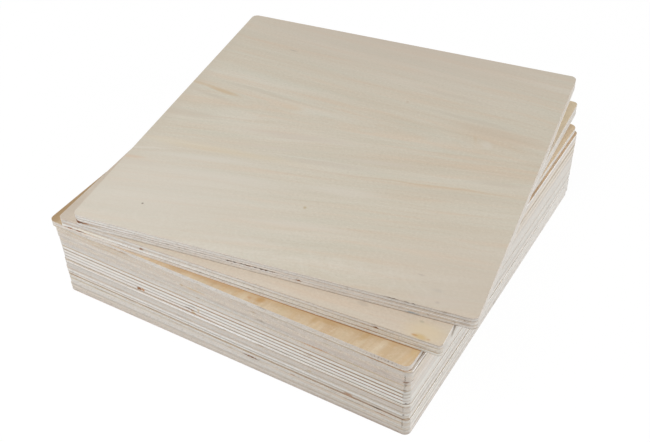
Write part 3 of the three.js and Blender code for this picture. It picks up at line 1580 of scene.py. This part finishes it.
def sheet_09_upper() -> Board:
    """The ninth sheet, turned a little, with an orange stain by its front right corner.

    Returns:
        The board, not built yet.
    """
    return Board(
        node="sheet_09_upper",
        slot="cream_board",
        thickness=10.1,
        shift=(3.2, 7.0),
        turn=3.99,
        bands=(
            Band(0.5, LONG, PEBBLE, FROST, STRAW, PEBBLE, LINEN),
            Band(2.3, LONG, CREAM, SALT, IVORY, DOVE, PAPER),
            Band(3.1, GLUE, SAND, HAZEL, TAN, DOVE, DOUGH),
            Band(5.1, CROSS, SALT, CHALK, BISCUIT, DOVE, DOVE),
            Band(6.3, CROSS, BLUSH, IVORY, OATS, PEBBLE, PUMICE),
            Band(7.0, GLUE, BLUSH, HUSK, HONEY, PEBBLE, PAPER),
            Band(9.0, LONG, PAPER, SHELL, DOUGH, PUMICE, LINEN),
            Band(9.4, GLUE, FAWN, MINK, MINK, LINEN, PEACH),
            Band(10.1, LONG, DUNE, PEACH, STRAW, PEARL, BISCUIT),
        ),
        figure=FaceFigure(
            Tone(215, 203, 187), Tone(211, 198, 181), Tone(208, 192, 174), Tone(201, 183, 162),
            rise=(3.0, -3.0), streak_contrast=0.35, seed=10.6,
        ),
        look=EdgeLook(Tone(206, 198, 187), fade=0.1),
        hollows=(
            Hollow(-144.5, -140, 2.3, 3.1, 0.6, RUST),
            Hollow(-137.5, -130, 2.3, 3.1, 0.6, RUST),
        ),
        edge_marks=(
            *FRONT.flecks(KNOT, (-78.5, 6.2, 2.4, 1.3, 0.9), softness=0.6),
            *FRONT.flecks(RUSSET, (104, 7.3, 3, 1.1, 1), softness=0.6),
            *FRONT.flecks(RUST, (98, 7, 20, 0.6, 0.4)),
            # Dark brown dashes over the two opened gaps: their own brown and painted shade inside them.
            *FRONT.flecks(
                CHESTNUT, (-142.2, 2.7, 4.4, 0.6, 1), (-132.4, 2.8, 8.2, 0.7, 1), softness=0.5,
            ),
            *FRONT.flecks(RUST, (-138, 2.7, 14, 0.5, 0.7), (98, 2.9, 14, 0.6, 0.6)),
            *FRONT.flecks(HAY, (-122, 2.6, 12, 0.8, 0.5)),
            *FRONT.flecks(Tone(236, 226, 200), (-122, 4.6, 26, 1.2, 0.5)),
            *FRONT.flecks(
                SPECK, (-85, 2.6, 16, 0.5, 0.5), (-97, 2.8, 4, 0.6, 0.5), (-14, 2.6, 8, 0.5, 0.4),
                (8, 2.9, 2, 0.8, 0.6), (23, 2.7, 2, 0.6, 0.4), (12, 6.9, 3, 0.6, 0.4),
                (59, 6.9, 4, 0.5, 0.4),
            ),
            *FRONT.flecks(TAUPE, (-31, 2.7, 7, 0.6, 0.6)),
            *FRONT.flecks(SLATE, (138, 3.7, 10, 0.7, 0.4)),
            *FRONT.flecks(HAZEL, (141, 7.4, 5, 0.6, 0.4)),
            *FRONT.flecks(PEWTER, (138, 1.2, 9, 0.7, 0.4)),
            *FRONT.flecks(CARAMEL, (72, 2.8, 4, 0.7, 0.5)),
            # Painted shadow that the top sheet's near right corner casts on the near end of this right
            # edge.
            *RIGHT.flecks(TAUPE, (-126.5, 7, 5, 5, 0.8), (-130.6, 4, 3.6, 3.4, 0.7)),
        ),
        face_marks=(
            *on_face(BUTTER, (136, -143, 22, 13, 0.75, 0), (146, 130, 16, 60, 0.85, 0)),
            *on_face(MUSTARD, (134.5, -147.4, 7, 3.4, 0.7, -8)),
            *on_face(Tone(190, 136, 72), (130.1, -147.7, 3.4, 1.4, 0.62, 0), steady=True),
            *on_face(GINGER, (140, -147.9, 1.9, 1.3, 0.42, 0), steady=True),
            *on_face(Tone(172, 166, 142), (130, -135.6, 2.6, 1.6, 0.5, 0)),
            *on_face(WHEAT, (-146, 0, 7, 170, 0.7, 0), (-147, -138, 7, 22, 0.5, 0)),
            *on_face(HUSK, (88, -136, 6, 3, 0.4, 0)),
        ),
        corner_radius=3.5,
    )


def sheet_10_top() -> Board:
    """The top sheet, turned the most, with a flamed face and a row of gaps in its front edge.

    Returns:
        The board, not built yet.
    """
    return Board(
        node="sheet_10_top",
        slot="cream_board",
        thickness=10.1,
        shift=(6.3, 16.9),
        turn=8.58,
        bands=(
            Band(0.5, LONG, MINK, HUSK, WALNUT, LINEN, SNOW),
            Band(2.6, LONG, PAPER, CREAM, DOUGH, PAPER, CHALK),
            Band(3.1, GLUE, MINK, CLAY, TAN, DOVE, PAPER),
            Band(4.5, CROSS, DOUGH, MILK, SAND, DOVE, PEBBLE),
            Band(5.0, GLUE, MINK, ASH, FROST, PAPER, SAND),
            Band(6.7, LONG, SHELL, CREAM, SAND, FLAX, GRIST),
            Band(7.2, GLUE, MINK, CLAY, WALNUT, FLAX, PAPER),
            Band(9.1, CROSS, BONE, FLAX, PUMICE, DOUGH, GRIST),
            Band(9.5, GLUE, PUTTY, HUSK, HAZEL, GRIST, BISCUIT),
            Band(10.1, LONG, DOUGH, CREAM, SAND, PEBBLE, WHEAT),
        ),
        figure=FaceFigure(
            Tone(214, 206, 191), Tone(208, 199, 182), Tone(205, 193, 174), Tone(202, 185, 162),
            rise=(9.5, -5.0), heart=26.0, band_width=20.0, streak_contrast=0.36, curl=0.09, seed=4.4,
        ),
        look=EdgeLook(Tone(206, 200, 190), fade=0.1),
        hollows=(
            Hollow(-29, -21, 4.5, 5.0, 1.3),
            Hollow(-17.5, -11, 4.5, 5.0, 1.3),
            Hollow(-8, 6, 4.5, 5.0, 1.3),
            Hollow(-144.8, -142, 3.35, 4.25, 1.0, KNOT),
        ),
        edge_marks=(
            # The dark wedge of an open void at the left corner, fading to the right: painted shade, where
            # only the first few millimetres are sunk.
            *FRONT.flecks(RUSSET, (-148, 4, 5.5, 1.7, 1), softness=0.35),
            *FRONT.flecks(Tone(150, 108, 74), (-141, 3.9, 6.5, 0.9, 1)),
            *FRONT.flecks(TAN, (-133, 3.7, 9, 0.8, 0.7)),
            *FRONT.flecks(
                SPECK, (-98, 5.4, 9, 0.8, 0.4), (-74, 5.1, 3, 0.8, 0.5), (129, 9.6, 3, 0.6, 0.6),
                (128, 8.8, 2, 0.7, 0.5), (-60, 4.7, 3, 0.7, 0.5), (-65, 4.7, 1.5, 0.8, 0.6),
                (-86, 4.7, 2, 0.7, 0.5), (-116.5, 4.8, 1.2, 0.8, 0.6), (-127, 4.8, 6, 0.5, 0.4),
                (-47, 4.7, 6, 0.5, 0.4), (-52, 8.4, 8, 0.5, 0.3), (116.8, 3, 0.8, 1.2, 0.6),
            ),
            *FRONT.flecks(KNOT, (25, 3.1, 3.2, 1.1, 1), softness=0.6),
            *FRONT.flecks(
                SOOT, (91, 9.6, 7, 0.6, 0.8), (102, 9.5, 3, 0.7, 0.7), (106.5, 9.5, 2, 0.8, 0.8),
            ),
            *FRONT.flecks(STEEL, (106, 1.1, 7, 0.9, 0.8)),
            *FRONT.flecks(RUST, (-10, 4.7, 26, 0.6, 0.6)),
            *FRONT.flecks(MINK, (142, 3.6, 7, 3.4, 0.4), softness=0.8),
            *FRONT.flecks(MINK, (141, 7.7, 6, 1.2, 0.3)),
            *FRONT.flecks(SLATE, (140, 3.7, 8, 0.5, 0.3)),
            *FRONT.flecks(PEARL, (141.5, 0.1, 5.5, 0.6, 0.6)),
            # Dark dashes inside the three opened gaps of the core veneer: painted shade.
            *FRONT.flecks(
                SOOT, (-27.6, 4.7, 1.5, 0.8, 0.8), (-22.3, 4.7, 1.7, 0.9, 0.9), (-17, 4.8, 1.5, 1, 0.9),
                (-7.4, 4.8, 2, 0.9, 0.8), (-2.2, 4.8, 2.2, 0.9, 0.9), (1.9, 4.8, 1.7, 0.9, 0.9),
            ),
            *FRONT.flecks(KNOT, (-11.6, 4.7, 1.8, 0.7, 0.7), (6.4, 4.9, 1.8, 0.8, 0.8)),
            at_corner((149.4, -148.8, 5), (1.1, 1.5, 8), PEARL, 0.4),
            *FRONT.flecks(
                SPECK, (141.5, 6.2, 1.2, 0.9, 0.8), (60.5, 7.6, 0.8, 1.6, 0.4), (135, 2.4, 1, 1.6, 0.5),
            ),
        ),
        face_marks=(
            *on_face(
                STRAW, (-136, -11, 45, 7, 0.55, 6), (-127, 20, 30, 4, 0.5, -10),
                (129, -12, 34, 4, 0.5, 8),
            ),
            *on_face(
                OATS, (22, -60, 46, 8, 0.5, 8), (6, -106, 66, 5, 0.5, 9), (-92, -59, 62, 5, 0.5, 10),
                (-27, -134, 44, 6, 0.4, 8),
            ),
            *on_face(WHEAT, (-40, -10, 66, 6, 0.5, 7)),
            *on_face(
                STRAW, (-151, 0, 16, 190, 0.35, 0), (86, 59, 54, 3.5, 0.5, -4),
                (58, 87, 50, 4, 0.4, -5), (-90, 38, 50, 3.5, 0.4, -6),
            ),
            *on_face(
                BISCUIT, (121, -142, 30, 7, 0.5, 6), (-51, -30, 34, 3.5, 0.5, 8),
                (36, -18, 44, 3.5, 0.5, 9),
            ),
            *on_face(WHEAT, (-135, -81, 24, 4, 0.5, 10), (0, -33, 52, 5, 0.4, 8)),
            # Painted light and shade over the whole face: lighter towards the near left, darker towards the
            # back and towards the near right.
            *on_face(OATS, (-120, -120, 180, 110, 0.6, 0), softness=1),
            *on_face(WHEAT, (0, 175, 300, 120, 0.75, 0), (160, -130, 150, 90, 0.55, 0), softness=1),
            *on_face(IVORY, (-15, -32, 70, 1.1, 0.25, 8)),
            *on_face(PEARL, (-110, -46, 45, 1.4, 0.2, 7)),
            *on_face(CREAM, (110, -3, 50, 1.2, 0.25, 9)),
            *on_face(BUTTER, (-90, -46, 90, 6, 0.35, 4)),
            *on_face(
                HAY, (90, -30, 80, 1.8, 0.45, 8), (-118, 27.5, 22, 3.4, 0.75, -8),
                (-140, 31, 26, 3, 0.5, -8),
            ),
            *on_face(FAWN, (20, -40, 60, 1.6, 0.3, 8), (110, 48, 60, 10, 0.45, -4)),
            *on_face(STRAW, (95, -36, 70, 7, 0.3, 8)),
            *on_face(Tone(210, 190, 164), (-57, 26, 14, 7, 0.4, 0)),
            *on_face(HAY, (94, 36, 2.5, 7, 0.3, 20)),
            *on_face(OATS, (104.6, 31.6, 7, 6, 0.45, -30)),
            *on_face(SLATE, (-91, 105, 6, 1.2, 0.4, -4)),
            *on_face(Tone(176, 150, 98), (2.6, -86, 1.9, 2.2, 0.5, 30)),
            *on_face(HONEY, (28, 66, 2, 2, 0.4, 0)),
            *on_face(BARK, (-108.8, -122.5, 1.3, 1.3, 0.75, 0)),
            *on_face(MINK, (103, -123.5, 4, 1.4, 0.35, 0), (121, -144, 2, 1.4, 0.35, 0)),
            *on_face(CLAY, (118, -134, 6, 2.8, 0.35, 0)),
            *on_face(Tone(210, 184, 158), (-145, -76, 16, 2.6, 0.5, 12)),
            *on_face(IVORY, (-140, -62, 30, 2, 0.35, 14)),
            *on_face(OATS, (-60, -75, 80, 10, 0.4, 8)),
        ),
    )


def stack() -> list[Board]:
    """Stacks the ten boards, each over a thin gap of air above the one below.

    Returns:
        The boards from the bottom up, not built yet, each with the height of its base.
    """
    boards = [
        sheet_01_bottom(),
        sheet_02(),
        sheet_03(),
        sheet_04(),
        sheet_05(),
        sheet_06(),
        sheet_07(),
        sheet_08_golden(),
        sheet_09_upper(),
        sheet_10_top(),
    ]
    height = 0.0
    for board in boards:
        board.base = round(height, 1)
        height += board.thickness + AIR_GAP
    return boards


@dataclass
class Studio:
    """The floor, the lamps, the surround and the camera.

    The camera's angles are in degrees, and its lens is in millimetres. The glows are how bright the floor
    and the surround show themselves, and the fill is how strongly the surround lights the stack.
    """

    camera_place: Point = (0.33234, -0.51979, 0.55151)
    azimuth: float = 28.23978
    elevation: float = 43.35081
    roll: float = 0.38923
    lens: float = 55.028
    shift: tuple[float, float] = (-0.0969, 0.0658)
    floor_glow: float = 1.014
    floor_glow_share: float = 0.95
    surround_glow: float = 1.0
    fill: float = 0.432

    def build(self) -> None:
        """Sets up the floor, the lamps, the surround and the camera."""
        self.lay_floor()
        self.hang_lamps()
        self.light_surround()
        self.stand_camera()

    def lay_floor(self) -> None:
        """Lays a pale floor that shows the stack's shadow only softly."""
        Bench.clear()
        bpy.ops.mesh.primitive_plane_add(size=6.0, location=(0.0, 0.0, 0.0))
        floor = bpy.context.object
        floor.name = "studio_floor"
        work = Finisher(bpy.data.materials.new("studio_floor"))
        paper = work.add("BsdfDiffuse", {"Color": (0.9, 0.9, 0.9, 1.0)}).outputs[0]
        glow = work.add("Emission", {"Color": WHITE, "Strength": self.floor_glow}).outputs[0]
        share = work.sum("MULTIPLY", work.seen(), self.floor_glow_share)
        mixed = work.add("MixShader", {0: share, 1: paper, 2: glow})
        work.add("OutputMaterial", {"Surface": mixed.outputs[0]})
        floor.data.materials.append(work.owner)

    def hang_lamps(self) -> None:
        """Hangs four soft lamps: left, right and above the front, and a weak one behind."""
        self.lamp("soft_left", (-0.7, -0.8, 0.55), 0.6, 3.93)
        self.lamp("soft_right", (1.5, 0.1, 0.6), 0.9, 11.0)
        self.lamp("soft_above", (-0.1, -0.7, 1.4), 0.9, 6.24)
        self.lamp("soft_back", (-1.2, 1.2, 0.35), 0.9, 3.0)

    @staticmethod
    def lamp(name: str, place: Point, size: float, power: float) -> None:
        """Hangs one square soft lamp that faces the middle of the stack.

        Args:
            name: The lamp's name.
            place: Where it hangs, in metres.
            size: The length of its sides in metres.
            power: Its power in watts.
        """
        aim = Vector((0.0, 0.0, 0.05))
        data = bpy.data.lights.new(name, type="AREA")
        data.shape = "SQUARE"
        data.size = size
        data.energy = power
        lamp = bpy.data.objects.new(name, data)
        bpy.context.scene.collection.objects.link(lamp)
        lamp.location = place
        lamp.rotation_euler = (aim - Vector(place)).to_track_quat("-Z", "Y").to_euler()

    def light_surround(self) -> None:
        """Lights the surround evenly, and lets it show as white."""
        world = bpy.data.worlds.new("studio")
        bpy.context.scene.world = world
        work = Finisher(world)
        level = work.spread(work.seen(), 0.0, 1.0, self.fill, self.surround_glow, kind="LINEAR")
        light = work.add("Background", {"Color": WHITE, "Strength": level})
        work.add("OutputWorld", {"Surface": light.outputs[0]})

    def stand_camera(self) -> None:
        """Stands the camera where it looks down on the front right corner."""
        a, e, r = (math.radians(value) for value in (self.azimuth, self.elevation, self.roll))
        back = Vector((math.sin(a) * math.cos(e), -math.cos(a) * math.cos(e), math.sin(e)))
        right = (-back).cross(Vector((0.0, 0.0, 1.0))).normalized()
        up = right.cross(-back)
        across = math.cos(r) * right + math.sin(r) * up
        upright = -math.sin(r) * right + math.cos(r) * up
        data = bpy.data.cameras.new("camera")
        data.lens = self.lens
        data.sensor_width = 36.0
        data.sensor_fit = "HORIZONTAL"
        data.shift_x, data.shift_y = self.shift
        data.clip_start, data.clip_end = 0.01, 20.0
        camera = bpy.data.objects.new("camera", data)
        bpy.context.scene.collection.objects.link(camera)
        turned = Matrix((across, upright, back)).transposed().to_4x4()
        camera.matrix_world = Matrix.Translation(self.camera_place) @ turned
        bpy.context.scene.camera = camera


def main() -> None:
    """Builds the studio and the stack, board by board."""
    logging.basicConfig(level=logging.INFO, format="%(message)s")
    bpy.context.scene.view_settings.view_transform = "Standard"
    Studio().build()
    for board in stack():
        piece = board.build()
        log.info("%s: %d faces", piece.name, len(piece.data.polygons))
    Bench.clear()


if __name__ == "__main__":
    main()
